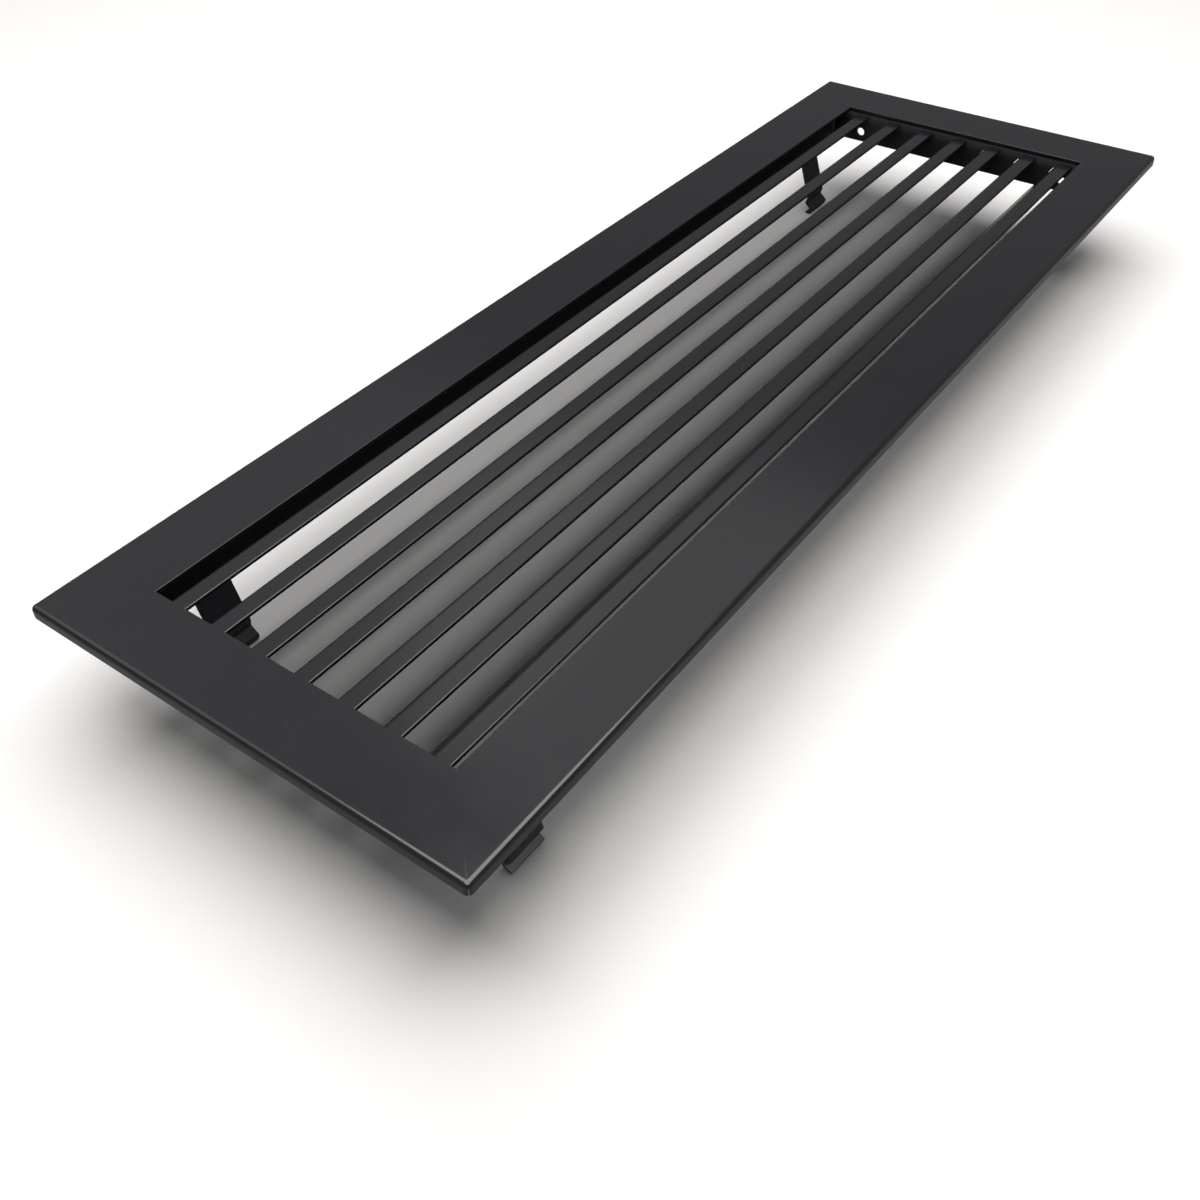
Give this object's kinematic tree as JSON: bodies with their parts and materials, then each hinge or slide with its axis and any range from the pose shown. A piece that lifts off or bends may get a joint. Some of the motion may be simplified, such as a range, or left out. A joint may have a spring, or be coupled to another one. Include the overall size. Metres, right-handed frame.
{
  "type": "fireplace vent grille",
  "caption": "Folded steel vent grille with a wide flat face, slanted louvres held in slotted end walls, and spring clips at the back for a wall sleeve beside a fireplace.",
  "frame": {"origin": "on the surface that the clip feet stand on, straight below the middle of the face", "axes": "+Z out of the face, +X along the louvres and the long side, +Y towards the side that the lower edges of the louvre blades point to"},
  "size_m": [0.49, 0.17, 0.0452],
  "materials": {
    "face_black": "satin black powder coat",
    "wall_black": "satin black powder coat",
    "slat_black": "satin black powder coat",
    "clip_black": "smooth black coat on spring steel"
  },
  "bodies": {
    "root": {"face_frame": "face_black", "side_wall_left": "wall_black", "side_wall_right": "wall_black", "end_wall_far": "wall_black", "end_wall_near": "wall_black", "slat_1": "slat_black", "slat_2": "slat_black", "slat_3": "slat_black", "slat_4": "slat_black", "slat_5": "slat_black", "slat_6": "slat_black", "slat_7": "slat_black", "clip_left_far": "clip_black", "clip_left_near": "clip_black", "clip_right_far": "clip_black", "clip_right_near": "clip_black"}
  },
  "joints": []
}
